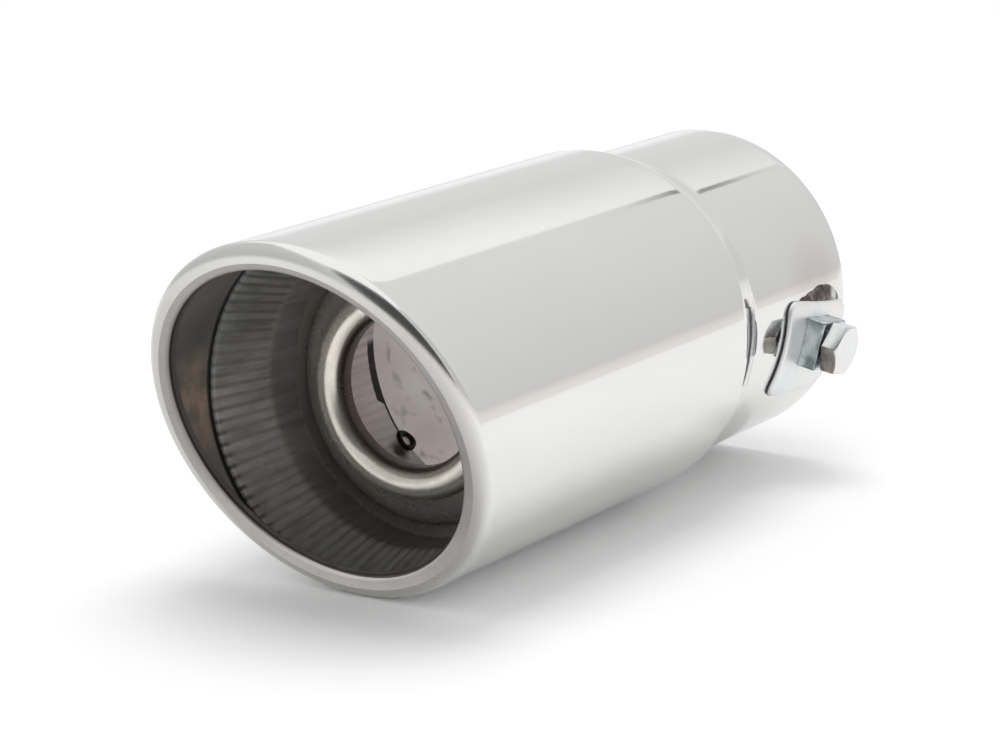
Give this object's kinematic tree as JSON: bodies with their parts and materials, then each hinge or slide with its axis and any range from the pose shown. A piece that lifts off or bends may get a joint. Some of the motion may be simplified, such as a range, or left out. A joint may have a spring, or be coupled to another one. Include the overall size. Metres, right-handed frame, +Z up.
{
  "type": "exhaust tip",
  "caption": "Round polished exhaust tip with a slant-cut rolled mouth, a fluted inner sleeve, a baffle ring with a raised bore and a side bolt that clamps the neck to a tail pipe.",
  "frame": {"origin": "centre of the neck's open end, on the tube axis", "axes": "+Y along the tube axis out of the neck, so the mouth faces -Y; +Z up, to the long side of the mouth"},
  "size_m": [0.076, 0.1598, 0.07],
  "materials": {
    "polished_stainless": "polished",
    "plain_stainless": "satin",
    "zinc_plated_steel": "bright zinc"
  },
  "bodies": {
    "tip": {"outer_shell": "polished_stainless", "fluted_sleeve": "plain_stainless", "baffle_ring": "plain_stainless", "clamp_plate": "zinc_plated_steel", "weld_nut": "zinc_plated_steel"},
    "bolt": {"clamp_bolt": "zinc_plated_steel"}
  },
  "joints": [
    {"name": "clamp_bolt_travel", "type": "slide", "parent": "tip", "child": "bolt", "axis": [0.9826, 0, -0.1857], "range_m": [-0.0004, 0.0035]}
  ]
}
